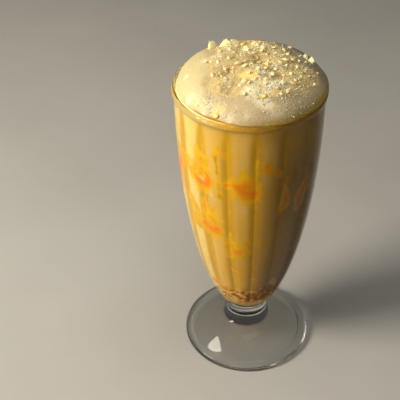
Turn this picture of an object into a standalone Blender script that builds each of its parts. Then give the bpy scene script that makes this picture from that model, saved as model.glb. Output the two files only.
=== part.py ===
"""A milkshake in its footed soda glass.

The clear glass has a domed foot, a solid waist and a tall bowl with sixteen
flutes pressed into the inside of its wall. Fruit sauce lies in the bottom of
the bowl, the shake fills it to the rim, and a head of froth stands above the
rim in a dome, with nut crumbs and flakes of biscuit on it.
Metres, +Z up. The origin is under the middle of the foot. -Y is the front.
"""
import math
import random

import bmesh
import bpy
from mathutils import Euler, Matrix, Vector

# Driving dimensions
RIM_RADIUS = 0.0430
GLASS_HEIGHT = 0.1920
FOOT_RADIUS = 0.0401
WAIST_RADIUS = 0.0131
WAIST_HEIGHT = 0.0270
WALL = 0.0023
FLUTES = 16
HEAD_RISE = 0.0163
GAP = 0.0003
TINY = 0.0001

# The glass
BEAD_HEIGHT = 0.0036
BEAD_STEP = 0.0010
BEAD_ROUND = 0.0011
BEAD_EDGE = 0.0006
BEAD_UNDERCUT = 0.0002
RIM_WALL = 0.0024
BOWL_FOOT = 0.0280
BOWL_FOOT_RADIUS = 0.0087
BOWL_SWELL = 2.1
BOWL_FULLNESS = 1.62
CAVITY_FLOOR = 0.0350
CAVITY_ROUND = 0.0065
CAVITY_ROUNDNESS = 0.9
WALL_AT_FLOOR = 0.0034
FULL_WALL_FROM = 0.0900
FLUTE_DEPTH = 0.0011
FLUTE_SHARPNESS = 2.6
FLUTES_FULL_FROM = 0.0560
FLUTES_FADE_FROM = 0.1740
FLUTES_END = 0.1870
INSIDE_HEIGHTS = (0.0435, 0.0475, 0.0550, 0.0680, 0.0860, 0.1100, 0.1370, 0.1640, 0.1765, 0.1820, 0.1865)
OUTSIDE_HEIGHTS = (0.1600, 0.1300, 0.1050, 0.0840, 0.0670, 0.0540, 0.0450, 0.0380, 0.0330)
WAIST_TOP = 0.0300
WAIST_FLARE = 0.0002
FOOT_FILLET = 0.0062
FOOT_FILLET_DROP = 1.25
FOOT_FILLET_TOP = WAIST_HEIGHT - 0.0030
FOOT_DOME_START = WAIST_RADIUS + 0.92 * FOOT_FILLET
FOOT_DOME_BEND = 1.25
FOOT_SHOULDER_RADIUS = FOOT_RADIUS - 0.0042
FOOT_SHOULDER = 0.0056
FOOT_TOP = 0.0166
FOOT_EDGE_HEIGHT = 0.0016
FOOT_EDGE_RISE = 0.0034
FOOT_EDGE_ROUND = 0.0021
FOOT_EDGE_LOWEST = 0.0004
REST_RING_INNER = 0.0330
REST_RING_OUTER = 0.0380
RECESS_EDGE_WIDTH = 0.0015
RECESS_EDGE_DEPTH = 0.0009
RECESS_BEND_RADIUS = 0.0220
RECESS_BEND_DEPTH = 0.0030
RECESS_DEPTH = 0.0042

# The drink
POOL_TOP = 0.0492
POOL_REACH = 0.0200
POOL_EDGE_DEPTH = 0.0060
# Waves of the sauce's top round the wall: height, waves in a turn and start in radians
POOL_WAVES = ((0.0030, 1, 0.85), (0.0018, 3, 0.6 - math.pi / 2), (0.0009, 5, -0.4))
FLOOR_RINGS = (0.0080, 0.0150)
SHAKE_TOP = 0.1888
HEAD_SINK = 0.0015
HEAD_SHIFT = 0.0013
HEAD_TILT = -0.041
HEAD_FLATNESS = 2.6
HEAD_ROUNDNESS = 1.72
HEAD_RINGS = 13
HEAD_RING_SPREAD = 1.15
# The dome's rings are turned at this height and over before they get their places
DOME_ROW = 0.5
DOME_ROW_RADIUS = 0.0400
DOME_ROW_BEND = 0.4
RELIEF_STARTS = 0.25
PLUG_SHOULDER = 0.0008
PLUG_CHAMFER = 0.0002
LIP_INSIDE = 0.0005
LIP_OVERHANG = 0.0030
LIP_OVERHANG_ANGLE = math.radians(78)
LIP_OVERHANG_SPAN = (-0.75, 0.95)
# Waves of the froth's lip: size, waves in a turn and start in radians
LIP_WAVES = ((0.00030, 5, 1.0), (0.00022, 11, 2.2))

# Faces round every turned piece, four to each flute
AROUND = 4 * FLUTES

# Hollows (negative) and swells of the froth's top: x, y, radius and height
FROTH_RELIEF = (
    (-0.0112, -0.0107, 0.0042, -0.0020),
    (0.0057, 0.0017, 0.0056, -0.0019),
    (0.0152, -0.0125, 0.0050, -0.0018),
    (-0.0088, -0.0232, 0.0045, -0.0016),
    (-0.0045, 0.0165, 0.0050, -0.0014),
    (0.0240, 0.0030, 0.0060, -0.0011),
    (0.0010, -0.0235, 0.0056, 0.0012),
    (-0.0180, 0.0020, 0.0070, 0.0007),
    (0.0020, -0.0110, 0.0050, 0.0009),
    (0.0170, -0.0010, 0.0052, 0.0008),
    (0.0152, -0.0212, 0.0058, 0.0014),
)

# Flakes that stand up at the back of the head: x, y, length, width, lean and turn in degrees
STANDING_FLAKES = (
    (-0.0212, 0.0195, 0.0072, 0.0052, 38, 24),
    (-0.0130, 0.0188, 0.0045, 0.0060, 34, -16),
    (-0.0088, 0.0198, 0.0040, 0.0064, 44, 14),
    (0.0330, 0.0108, 0.0042, 0.0036, 46, -38),
    (0.0300, 0.0127, 0.0036, 0.0032, 34, -20),
)
FLAKE_THICKNESS = 0.0011
FLAKE_NARROWING = 0.62
FLAKE_UNEVEN_WIDTH = 0.14
FLAKE_UNEVEN_LENGTH = 0.16
FLAKE_SIDE_LEAN = 0.4
FLAKE_LIFT = 0.04

CRUMB_FIELD_CENTRE = (0.0070, -0.0025)
CRUMB_FIELD_RADII = (0.0300, 0.0275)
CRUMB_COUNT = 86
CRUMB_LARGEST = 0.0031
CRUMB_SMALLEST = 0.0014
CRUMB_REACH_SPREAD = (0.93, 1.05)
CRUMB_ANGLE_SPREAD = 0.2
CRUMB_MOSTLY_SMALL = 1.5
CRUMB_UNEVEN = (0.76, 1.20)
CRUMB_STRETCH = (1.0, 1.7)
CRUMB_FLATNESS = (0.55, 0.9)
CRUMB_TILT = 0.6
CRUMB_LIFT = 0.08
CUBE_SHARE = 0.72


def smoothstep(low, high, value):
    """0 below low, 1 above high, and an even curve between."""
    share = min(max((value - low) / (high - low), 0.0), 1.0)
    return share * share * (3 - 2 * share)


def front_angle(x, y):
    """Angle about the glass's axis, from the front (-Y) towards +X."""
    return math.atan2(x, -y)


def bowl_radius(z):
    """Outside of the bowl: it swells fast above the waist and then stands almost upright."""
    bead_bottom = GLASS_HEIGHT - BEAD_HEIGHT
    rise = min(max((z - BOWL_FOOT) / (bead_bottom - BOWL_FOOT), 0.0), 1.0)
    swell = (1 - (1 - rise) ** BOWL_SWELL) ** (1 / BOWL_FULLNESS)
    bowl_top_radius = RIM_RADIUS - BEAD_STEP
    return BOWL_FOOT_RADIUS + (bowl_top_radius - BOWL_FOOT_RADIUS) * swell


def cavity_radius(z):
    """Inside of the bowl between the flutes' ridges, with a thicker wall low down."""
    wall = WALL_AT_FLOOR + (WALL - WALL_AT_FLOOR) * smoothstep(CAVITY_FLOOR, FULL_WALL_FROM, z)
    return bowl_radius(z) - wall


def cavity_profile():
    """Points (radius, height) up the inside of the bowl, from its floor to under the rim."""
    points = [(0.0, CAVITY_FLOOR)]
    round_top = CAVITY_FLOOR + CAVITY_ROUND
    for step in range(1, 4):
        angle = math.radians(90 * step / 3)
        radius = cavity_radius(round_top) * math.sin(angle) ** CAVITY_ROUNDNESS
        points.append((radius, round_top - CAVITY_ROUND * math.cos(angle)))
    for z in INSIDE_HEIGHTS:
        points.append((cavity_radius(z), z))
    points.append((RIM_RADIUS - RIM_WALL, SHAKE_TOP))
    return points


def flute_inset(angle, z):
    """How far a flute's ridge stands into the bowl at this angle and height."""
    flute = 2 * math.pi / FLUTES
    quarter = flute / 4
    phase = (angle - quarter) / flute
    from_ridge = abs(phase - round(phase)) * 2
    low_fade = smoothstep(CAVITY_FLOOR + 0.6 * CAVITY_ROUND, FLUTES_FULL_FROM, z)
    fade = low_fade * (1 - smoothstep(FLUTES_FADE_FROM, FLUTES_END, z))
    return FLUTE_DEPTH * fade * (1 - from_ridge) ** FLUTE_SHARPNESS


def inset_profile(points, distance):
    """The same profile moved into the bowl, square to itself, by a distance."""
    moved = []
    for index, (radius, z) in enumerate(points):
        before = points[max(index - 1, 0)]
        after = points[min(index + 1, len(points) - 1)]
        run = Vector((after[0] - before[0], after[1] - before[1])).normalized()
        moved.append((max(radius - run.y * distance, 0.0), z + run.x * distance))
    return moved


def radius_on_profile(points, z):
    """Radius of a profile at a height, straight between its points."""
    for (low_radius, low_z), (high_radius, high_z) in zip(points, points[1:]):
        if low_z <= z <= high_z:
            share = (z - low_z) / (high_z - low_z)
            return low_radius + (high_radius - low_radius) * share
    return points[-1][0]


def pool_height(x, y):
    """Top of the sauce, which has run higher up the wall at the left and at the right."""
    angle = front_angle(x, y)
    reach = min(math.hypot(x, y) / POOL_REACH, 1.0)
    wave = sum(height * math.cos(count * angle + start) for height, count, start in POOL_WAVES)
    return POOL_TOP + reach * reach * wave


def material(name, colour, roughness, transmission=0.0, ior=1.45):
    """A plain finish for one piece."""
    finish = bpy.data.materials.new(name)
    finish.use_nodes = True
    shader = finish.node_tree.nodes["Principled BSDF"]
    shader.inputs["Base Color"].default_value = (*colour, 1.0)
    shader.inputs["Roughness"].default_value = roughness
    shader.inputs["Metallic"].default_value = 0.0
    shader.inputs["Transmission Weight"].default_value = transmission
    shader.inputs["IOR"].default_value = ior
    finish.diffuse_color = (*colour, 1.0)
    return finish


def plain_mesh(piece, depsgraph):
    """Swap a piece's modifiers for the mesh they make."""
    depsgraph.update()
    finished = bpy.data.meshes.new_from_object(piece.evaluated_get(depsgraph))
    piece.modifiers.clear()
    piece.data = finished
    return finished


def turned(name, profile, parts, finish):
    """A solid of revolution from a profile that runs down its outer side."""
    outline = bpy.data.meshes.new(name)
    edges = [(index, index + 1) for index in range(len(profile) - 1)]
    outline.from_pydata([(radius, 0.0, z) for radius, z in profile], edges, [])
    piece = bpy.data.objects.new(name, outline)
    parts.objects.link(piece)
    screw = piece.modifiers.new("Turn", "SCREW")
    screw.axis = "Z"
    screw.steps = AROUND
    screw.render_steps = AROUND
    screw.use_merge_vertices = True
    screw.merge_threshold = 0.00001
    mesh = plain_mesh(piece, bpy.context.evaluated_depsgraph_get())
    mesh.name = name
    mesh.materials.clear()
    mesh.materials.append(finish)
    return piece


def reshape(piece, moved_place):
    """Move every point of a piece's mesh by a rule."""
    for point in piece.data.vertices:
        point.co = moved_place(point.co.copy())
    piece.data.update()


def pressed_in(place, inset):
    """A place moved towards the axis by a distance."""
    radius = math.hypot(place.x, place.y)
    if radius <= inset:
        return place
    share = (radius - inset) / radius
    return Vector((place.x * share, place.y * share, place.z))


def round_edges_smooth(piece, sharp_angle=50):
    """Smooth shading, with the true corners kept sharp."""
    piece.data.shade_smooth()
    piece.data.set_sharp_from_angle(angle=math.radians(sharp_angle))


def foot_profile():
    """From the waist down over the domed foot to the rounded edge and the recess under it."""
    points = []
    for step in range(4):
        angle = math.radians(90 * step / 4)
        radius = WAIST_RADIUS + FOOT_FILLET * (1 - math.cos(angle))
        points.append((radius, FOOT_FILLET_TOP - FOOT_FILLET_DROP * FOOT_FILLET * math.sin(angle)))
    for step in range(4):
        share = step / 3
        radius = FOOT_DOME_START + (FOOT_SHOULDER_RADIUS - FOOT_DOME_START) * share
        points.append((radius, FOOT_SHOULDER + (FOOT_TOP - FOOT_SHOULDER) * (1 - share ** FOOT_DOME_BEND)))
    edge_centre_radius = FOOT_RADIUS - FOOT_EDGE_ROUND
    for degrees in (50, 0, -48):
        angle = math.radians(degrees)
        rise = FOOT_EDGE_RISE if degrees > 0 else FOOT_EDGE_HEIGHT
        z = max(FOOT_EDGE_HEIGHT + rise * math.sin(angle), FOOT_EDGE_LOWEST)
        points.append((edge_centre_radius + FOOT_EDGE_ROUND * math.cos(angle), z))
    points.append((REST_RING_OUTER, 0.0))
    points.append((REST_RING_INNER, 0.0))
    points.append((REST_RING_INNER - RECESS_EDGE_WIDTH, RECESS_EDGE_DEPTH))
    points.append((RECESS_BEND_RADIUS, RECESS_BEND_DEPTH))
    points.append((0.0, RECESS_DEPTH))
    return points


def glass_profile():
    """The whole wall: up the inside, over the rim, and down the outside to the foot."""
    points = cavity_profile()
    inner_rim = RIM_RADIUS - RIM_WALL
    points.append((inner_rim, GLASS_HEIGHT - BEAD_ROUND))
    top_middle = RIM_RADIUS - RIM_WALL / 2
    for degrees in (135, 90, 45, 0):
        angle = math.radians(degrees)
        radius = top_middle + RIM_WALL / 2 * math.cos(angle)
        points.append((radius, GLASS_HEIGHT - BEAD_ROUND * (1 - math.sin(angle))))
    bead_bottom = GLASS_HEIGHT - BEAD_HEIGHT
    points.append((RIM_RADIUS, bead_bottom + BEAD_EDGE))
    points.append((RIM_RADIUS - BEAD_STEP, bead_bottom - BEAD_UNDERCUT))
    for z in OUTSIDE_HEIGHTS:
        points.append((bowl_radius(z), z))
    points.append((WAIST_RADIUS + WAIST_FLARE, WAIST_TOP))
    return points + foot_profile()


def make_glass(parts):
    """The pressed glass in one piece. Only the inside of the bowl has flutes."""
    clear = material("clear_glass", (0.93, 0.95, 0.94), 0.02, transmission=1.0, ior=1.5)
    piece = turned("glass", glass_profile(), parts, clear)

    def with_flutes(place):
        radius = math.hypot(place.x, place.y)
        inside = CAVITY_FLOOR < place.z < SHAKE_TOP and radius < bowl_radius(place.z) - WALL / 2
        if not inside or radius < WALL:
            return place
        return pressed_in(place, flute_inset(front_angle(place.x, place.y), place.z))

    reshape(piece, with_flutes)
    round_edges_smooth(piece)
    return piece


def make_sauce_pool(parts):
    """The sauce that has sunk to the bottom of the bowl, with an uneven top."""
    orange = material("fruit_sauce", (0.62, 0.24, 0.03), 0.25)
    wall = inset_profile(cavity_profile(), GAP)
    pool_wall = [point for point in wall if point[1] < POOL_TOP - POOL_EDGE_DEPTH]
    rings = [(radius, POOL_TOP) for radius in (0.0, *FLOOR_RINGS)]
    edge = (radius_on_profile(wall, POOL_TOP), POOL_TOP)
    piece = turned("sauce_pool", rings + [edge] + pool_wall[::-1], parts, orange)

    def uneven(place):
        if place.z < POOL_TOP - TINY:
            return pressed_in(place, flute_inset(front_angle(place.x, place.y), place.z))
        radius = math.hypot(place.x, place.y)
        height = pool_height(place.x, place.y)
        if radius < edge[0] - TINY:
            return Vector((place.x, place.y, height))
        share = radius_on_profile(wall, height) / radius
        moved = Vector((place.x * share, place.y * share, height))
        return pressed_in(moved, flute_inset(front_angle(place.x, place.y), height))

    reshape(piece, uneven)
    round_edges_smooth(piece)
    return piece


def make_shake(parts):
    """The drink from the sauce up to the rim, moulded by the flutes."""
    cream = material("milkshake", (0.80, 0.56, 0.24), 0.35)
    wall = inset_profile(cavity_profile(), GAP)
    side = [point for point in wall if POOL_TOP + POOL_EDGE_DEPTH < point[1] < SHAKE_TOP]
    top_radius = wall[-1][0]
    floor = POOL_TOP + GAP
    edge = (radius_on_profile(wall, floor), floor)
    rings = [(radius, floor) for radius in (*FLOOR_RINGS[::-1], 0.0)]
    top = [(0.0, SHAKE_TOP), (top_radius, SHAKE_TOP)]
    piece = turned("shake", top + side[::-1] + [edge] + rings, parts, cream)

    def fitted(place):
        if place.z > floor + TINY:
            return pressed_in(place, flute_inset(front_angle(place.x, place.y), place.z))
        radius = math.hypot(place.x, place.y)
        height = pool_height(place.x, place.y) + GAP
        if radius < edge[0] - TINY:
            return Vector((place.x, place.y, height))
        share = radius_on_profile(wall, height) / radius
        moved = Vector((place.x * share, place.y * share, height))
        return pressed_in(moved, flute_inset(front_angle(place.x, place.y), height))

    reshape(piece, fitted)
    round_edges_smooth(piece)
    return piece


def head_lip(angle):
    """Where the froth's edge lies on the rim: inside it at the left, over it at the right."""
    inside = RIM_RADIUS - RIM_WALL - LIP_INSIDE
    overhang = LIP_OVERHANG * smoothstep(*LIP_OVERHANG_SPAN, math.cos(angle - LIP_OVERHANG_ANGLE))
    wave = sum(size * math.sin(count * angle + start) for size, count, start in LIP_WAVES)
    radius = inside + overhang + wave * smoothstep(0.0, 0.2 * LIP_OVERHANG, overhang)
    return min(max(radius, inside), RIM_RADIUS - TINY)


def froth_relief(x, y):
    """Height of the hollows and swells in the froth's top."""
    height = 0.0
    for centre_x, centre_y, radius, rise in FROTH_RELIEF:
        distance = math.hypot(x - centre_x, y - centre_y) / radius
        height += rise * math.exp(-distance * distance)
    return height


def head_place(angle, share):
    """A place on the froth's dome: share is 0 at its lip on the rim and 1 at its top."""
    lip = head_lip(angle)
    lip_z = GLASS_HEIGHT + GAP + TINY
    edge_x = lip * math.sin(angle)
    base = GLASS_HEIGHT - HEAD_SINK + HEAD_TILT * (edge_x - HEAD_SHIFT)
    start = max((lip_z - base) / HEAD_RISE, 0.0)
    height = start + (1 - start) * share
    width = ((1 - height ** HEAD_ROUNDNESS) / (1 - start ** HEAD_ROUNDNESS)) ** (1 / HEAD_FLATNESS)
    x = edge_x * width + HEAD_SHIFT * (1 - width)
    y = -lip * math.cos(angle) * width
    base = GLASS_HEIGHT - HEAD_SINK + HEAD_TILT * (x - HEAD_SHIFT)
    z = max(base + HEAD_RISE * height, lip_z)
    settle = smoothstep(0.0, RELIEF_STARTS, share)
    return Vector((x, y, z + froth_relief(x, y) * settle))


def head_height(x, y):
    """Height of the froth's top over a place, found by halving along its angle."""
    from_middle = math.hypot(x - HEAD_SHIFT, y)
    angle = front_angle(x - HEAD_SHIFT, y)
    low = 0.0
    high = 1.0
    for _ in range(30):
        middle = (low + high) / 2
        place = head_place(angle, middle)
        if math.hypot(place.x - HEAD_SHIFT, place.y) > from_middle:
            low = middle
        else:
            high = middle
    return head_place(angle, low).z


def make_froth(parts):
    """The head of froth: a plug in the rim, and a dome above it that leans over the right side."""
    froth = material("froth", (0.88, 0.79, 0.52), 0.6)
    plug_radius = RIM_RADIUS - RIM_WALL - GAP
    base = SHAKE_TOP + GAP
    turns = [math.radians(90 * step / HEAD_RINGS) for step in range(HEAD_RINGS + 1)]
    shares = [math.cos(turn) ** HEAD_RING_SPREAD for turn in turns]
    dome = [(DOME_ROW_RADIUS * (1 - share) ** DOME_ROW_BEND, DOME_ROW + share) for share in shares]
    dome[0] = (0.0, dome[0][1])
    skirt = [(plug_radius - PLUG_CHAMFER, GLASS_HEIGHT - TINY)]
    skirt += [(plug_radius, GLASS_HEIGHT - PLUG_SHOULDER)]
    skirt += [(plug_radius, base), (0.0, base)]
    piece = turned("froth", dome + skirt, parts, froth)

    def domed(place):
        angle = front_angle(place.x, place.y)
        if place.z > DOME_ROW - GAP:
            return head_place(angle, min(max(place.z - DOME_ROW, 0.0), 1.0))
        return place

    reshape(piece, domed)
    return piece


def lump(rng, size, stretch, flatness):
    """One crumb: a large one is an uneven ball of twenty faces, a small one a broken cube."""
    bm = bmesh.new()
    if size > (CRUMB_LARGEST + CRUMB_SMALLEST) / 2:
        bmesh.ops.create_icosphere(bm, subdivisions=1, radius=size / 2)
    else:
        bmesh.ops.create_cube(bm, size=size * CUBE_SHARE)
    for point in bm.verts:
        point.co *= rng.uniform(*CRUMB_UNEVEN)
        point.co.x *= stretch
        point.co.z *= flatness
    return bm


def flake(rng, length, width):
    """One thin broken flake with uneven corners."""
    bm = bmesh.new()
    bmesh.ops.create_cube(bm, size=1.0)
    bmesh.ops.scale(bm, vec=(width, FLAKE_THICKNESS, length), verts=bm.verts)
    for point in bm.verts:
        narrowing = FLAKE_NARROWING if point.co.z > 0 else 1.0
        point.co.x = point.co.x * narrowing + rng.uniform(-1, 1) * FLAKE_UNEVEN_WIDTH * width
        point.co.z += rng.uniform(-1, 1) * FLAKE_UNEVEN_LENGTH * length
    return bm


def add_topping(bm, name, place, turn, toppings):
    """Put one crumb or flake on the froth."""
    bmesh.ops.transform(bm, matrix=Matrix.Translation(place) @ turn.to_matrix().to_4x4(), verts=bm.verts)
    mesh = bpy.data.meshes.new(name)
    bm.to_mesh(mesh)
    bm.free()
    toppings.objects.link(bpy.data.objects.new(name, mesh))


def scatter_crumbs(toppings):
    """The larger crumbs and flakes, spread evenly over the top of the head."""
    rng = random.Random(11)
    golden_angle = math.pi * (3 - math.sqrt(5))
    for index in range(CRUMB_COUNT):
        reach = math.sqrt((index + 0.5) / CRUMB_COUNT) * rng.uniform(*CRUMB_REACH_SPREAD)
        angle = index * golden_angle + rng.uniform(-CRUMB_ANGLE_SPREAD, CRUMB_ANGLE_SPREAD)
        x = CRUMB_FIELD_CENTRE[0] + CRUMB_FIELD_RADII[0] * reach * math.cos(angle)
        y = CRUMB_FIELD_CENTRE[1] + CRUMB_FIELD_RADII[1] * reach * math.sin(angle)
        size = CRUMB_SMALLEST + (CRUMB_LARGEST - CRUMB_SMALLEST) * rng.random() ** CRUMB_MOSTLY_SMALL
        crumb = lump(rng, size, rng.uniform(*CRUMB_STRETCH), rng.uniform(*CRUMB_FLATNESS))
        place = Vector((x, y, head_height(x, y) + size * CRUMB_LIFT))
        tilt = (rng.uniform(-CRUMB_TILT, CRUMB_TILT), rng.uniform(-CRUMB_TILT, CRUMB_TILT))
        turn = Euler((*tilt, rng.uniform(0, math.pi)))
        add_topping(crumb, f"crumb_{index}", place, turn, toppings)
    for index, (x, y, length, width, lean, turn_degrees) in enumerate(STANDING_FLAKES):
        shard = flake(rng, length, width)
        place = Vector((x, y, head_height(x, y) + length * FLAKE_LIFT))
        turn = Euler((math.radians(-lean), math.radians(lean * FLAKE_SIDE_LEAN), math.radians(turn_degrees)))
        add_topping(shard, f"flake_{index}", place, turn, toppings)


def keep_largest_shell(mesh):
    """Drop loose scraps, and the inner shells that seal a hollow, so that one full body is left."""
    bm = bmesh.new()
    bm.from_mesh(mesh)
    waiting = set(bm.faces)
    shells = []
    while waiting:
        first = waiting.pop()
        shell = [first]
        reached = [first]
        while reached:
            for edge in reached.pop().edges:
                for face in edge.link_faces:
                    if face in waiting:
                        waiting.discard(face)
                        shell.append(face)
                        reached.append(face)
        shells.append(shell)
    shells.sort(key=len)
    for shell in shells[:-1]:
        bmesh.ops.delete(bm, geom=shell, context="FACES")
    bm.to_mesh(mesh)
    bm.free()


def fuse_toppings(froth, toppings):
    """Join the crumbs and flakes to the froth they lie on."""
    union = froth.modifiers.new("Toppings", "BOOLEAN")
    union.operation = "UNION"
    union.operand_type = "COLLECTION"
    union.collection = toppings
    union.solver = "EXACT"
    finish = froth.data.materials[0]
    mesh = plain_mesh(froth, bpy.context.evaluated_depsgraph_get())
    mesh.name = "froth"
    mesh.materials.clear()
    mesh.materials.append(finish)
    keep_largest_shell(mesh)
    for topping in list(toppings.objects):
        bpy.data.objects.remove(topping)
    bpy.data.collections.remove(toppings)
    round_edges_smooth(froth, 40)


for leftover in list(bpy.data.objects):
    bpy.data.objects.remove(leftover)

milkshake = bpy.data.collections.new("milkshake")
bpy.context.scene.collection.children.link(milkshake)
topping_pieces = bpy.data.collections.new("toppings")
bpy.context.scene.collection.children.link(topping_pieces)

make_glass(milkshake)
make_sauce_pool(milkshake)
make_shake(milkshake)
head = make_froth(milkshake)
scatter_crumbs(topping_pieces)
fuse_toppings(head, topping_pieces)
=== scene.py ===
import math
import random

import bpy
import numpy as np
from mathutils import Euler, Matrix, Vector, noise
from mathutils.bvhtree import BVHTree


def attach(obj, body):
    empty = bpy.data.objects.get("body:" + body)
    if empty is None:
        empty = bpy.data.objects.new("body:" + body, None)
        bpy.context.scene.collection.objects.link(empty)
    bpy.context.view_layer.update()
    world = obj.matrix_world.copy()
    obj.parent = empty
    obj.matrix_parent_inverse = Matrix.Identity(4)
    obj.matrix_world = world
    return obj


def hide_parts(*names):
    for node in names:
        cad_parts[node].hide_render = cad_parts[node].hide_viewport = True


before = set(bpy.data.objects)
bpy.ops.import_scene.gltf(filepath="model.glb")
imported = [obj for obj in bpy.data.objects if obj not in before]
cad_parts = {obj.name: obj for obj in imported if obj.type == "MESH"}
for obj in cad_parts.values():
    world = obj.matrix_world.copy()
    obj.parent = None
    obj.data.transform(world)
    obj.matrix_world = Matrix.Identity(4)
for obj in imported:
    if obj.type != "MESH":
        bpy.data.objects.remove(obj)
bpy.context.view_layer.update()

# Camera, light and table
# A plain pale table top, one large soft lamp at the left and a weaker one high
# over the glass. The camera stands in front and looks down at about forty degrees.
# Its angles are in degrees, and lengths are in metres here and below.
CAMERA_PLACE = (0.0, -0.4427, 0.4725)
CAMERA_DOWN = 39.31
CAMERA_LEFT = 3.73
CAMERA_ROLL = -1.39
CAMERA_LENS = 85.6
KEY_COLOUR = (1.0, 0.94, 0.82)
TOP_COLOUR = (1.0, 0.97, 0.92)
STUDIO_COLOUR = (1.00, 0.96, 0.90, 1.0)
STUDIO_STRENGTH = 0.045
TABLE_SIZE = 5.0
TABLE_COLOURS = ((0.3, (0.32, 0.308, 0.285)), (0.7, (0.35, 0.337, 0.312)))

bpy.ops.object.select_all(action="DESELECT")
bpy.ops.object.camera_add(location=CAMERA_PLACE)
camera = bpy.context.object
camera.name = "photo_camera"
turned_left = Matrix.Rotation(math.radians(CAMERA_LEFT), 4, "Z")
looking_down = Matrix.Rotation(math.radians(90 - CAMERA_DOWN), 4, "X")
rolled = Matrix.Rotation(math.radians(CAMERA_ROLL), 4, "Z")
camera.rotation_euler = (turned_left @ looking_down @ rolled).to_euler()
camera.data.lens = CAMERA_LENS
camera.data.clip_start = 0.01
bpy.context.scene.camera = camera


def soft_lamp(name, place, aim, size, power, colour):
    """A square soft lamp that looks at a point."""
    bpy.ops.object.light_add(type="AREA", location=place)
    lamp = bpy.context.object
    lamp.name = name
    lamp.data.size = size
    lamp.data.energy = power
    lamp.data.color = colour
    lamp.rotation_euler = (Vector(aim) - Vector(place)).to_track_quat("-Z", "Y").to_euler()


soft_lamp("key_lamp", (-0.77, -0.28, 0.62), (0.0, 0.0, 0.12), 0.36, 17.3, KEY_COLOUR)
soft_lamp("top_lamp", (0.05, -0.08, 0.84), (0.0, 0.0, 0.19), 0.40, 2.6, TOP_COLOUR)


def set_inputs(node, values):
    """Set plain values on a node's own inputs."""
    for name, value in values.items():
        node.inputs[name].default_value = value


studio = bpy.data.worlds.new("pale_studio")
studio.use_nodes = True
set_inputs(studio.node_tree.nodes["Background"], {"Color": STUDIO_COLOUR, "Strength": STUDIO_STRENGTH})
bpy.context.scene.world = studio
bpy.context.scene.view_settings.view_transform = "Standard"


def new_finish(name):
    """A material with its node tree and its shader."""
    finish = bpy.data.materials.new(name)
    finish.use_nodes = True
    tree = finish.node_tree
    return finish, tree, tree.nodes["Principled BSDF"]


def set_surface(tree, shader, colour, roughness, gloss=0.5, glow=0.0, reach=(0.001, 0.001, 0.001)):
    """Colour, roughness and gloss, and how much light goes into the surface and how far, red first."""
    tree.links.new(colour, shader.inputs["Base Color"])
    set_inputs(shader, {
        "Roughness": roughness, "Specular IOR Level": gloss, "Subsurface Weight": glow,
        "Subsurface Radius": reach, "Subsurface Scale": 1.0,
    })


def noise_on(tree, scale, detail=2.0, roughness=0.5, squeeze=(1.0, 1.0, 1.0), bend=0.0):
    """A noise that follows the object, with its grain squeezed along an axis if wanted."""
    place = tree.nodes.new("ShaderNodeTexCoord")
    mapping = tree.nodes.new("ShaderNodeMapping")
    set_inputs(mapping, {"Scale": squeeze})
    tree.links.new(place.outputs["Object"], mapping.inputs["Vector"])
    grain = tree.nodes.new("ShaderNodeTexNoise")
    set_inputs(grain, {"Scale": scale, "Detail": detail, "Roughness": roughness, "Distortion": bend})
    tree.links.new(mapping.outputs["Vector"], grain.inputs["Vector"])
    return grain.outputs["Fac"]


def ramp_from(tree, value, stops):
    """Colours along a value, as (position, colour) stops."""
    ramp = tree.nodes.new("ShaderNodeValToRGB")
    elements = ramp.color_ramp.elements
    while len(elements) < len(stops):
        elements.new(1.0)
    for element, (position, colour) in zip(elements, stops):
        element.position = position
        element.color = (*colour, 1.0)
    tree.links.new(value, ramp.inputs["Fac"])
    return ramp.outputs["Color"]


def between(tree, value, low, high, low_result=0.0, high_result=1.0):
    """A value that is stretched from one range to another and kept inside it."""
    stretch = tree.nodes.new("ShaderNodeMapRange")
    stretch.interpolation_type = "SMOOTHSTEP"
    results = {"To Min": low_result, "To Max": high_result}
    set_inputs(stretch, {"From Min": low, "From Max": high, **results})
    tree.links.new(value, stretch.inputs["Value"])
    return stretch.outputs["Result"]


def reckon(tree, operation, first, second):
    """One sum on two values, each of them a socket or a number."""
    step = tree.nodes.new("ShaderNodeMath")
    step.operation = operation
    for socket, value in zip(step.inputs, (first, second)):
        if isinstance(value, (int, float)):
            socket.default_value = value
        else:
            tree.links.new(value, socket)
    return step.outputs["Value"]


def centred(tree, value, strength):
    """A value from 0 to 1 that is made to swing evenly round 0."""
    return reckon(tree, "MULTIPLY", reckon(tree, "SUBTRACT", value, 0.5), strength)


def blended(tree, share, first, second, manner="MIX"):
    """One colour over another by a share. Each is a socket or a plain colour."""
    mix = tree.nodes.new("ShaderNodeMix")
    mix.data_type = "RGBA"
    mix.blend_type = manner
    tree.links.new(share, mix.inputs["Factor"])
    for socket, colour in ((mix.inputs["A"], first), (mix.inputs["B"], second)):
        if isinstance(colour, tuple):
            socket.default_value = (*colour, 1.0)
        else:
            tree.links.new(colour, socket)
    return mix.outputs["Result"]


def bumped(tree, shader, height, strength, distance):
    """A small relief from a height, on the shader's normal."""
    bump = tree.nodes.new("ShaderNodeBump")
    set_inputs(bump, {"Strength": strength, "Distance": distance})
    tree.links.new(height, bump.inputs["Height"])
    tree.links.new(bump.outputs["Normal"], shader.inputs["Normal"])


table_finish, tree, shader = new_finish("pale_table")
table_grain = noise_on(tree, 9.0, 4.0)
set_surface(tree, shader, ramp_from(tree, table_grain, TABLE_COLOURS), 0.6)
bpy.ops.mesh.primitive_plane_add(size=TABLE_SIZE, location=(0.0, 0.0, 0.0))
table = bpy.context.object
table.name = "table_top"
table.data.materials.append(table_finish)

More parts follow.
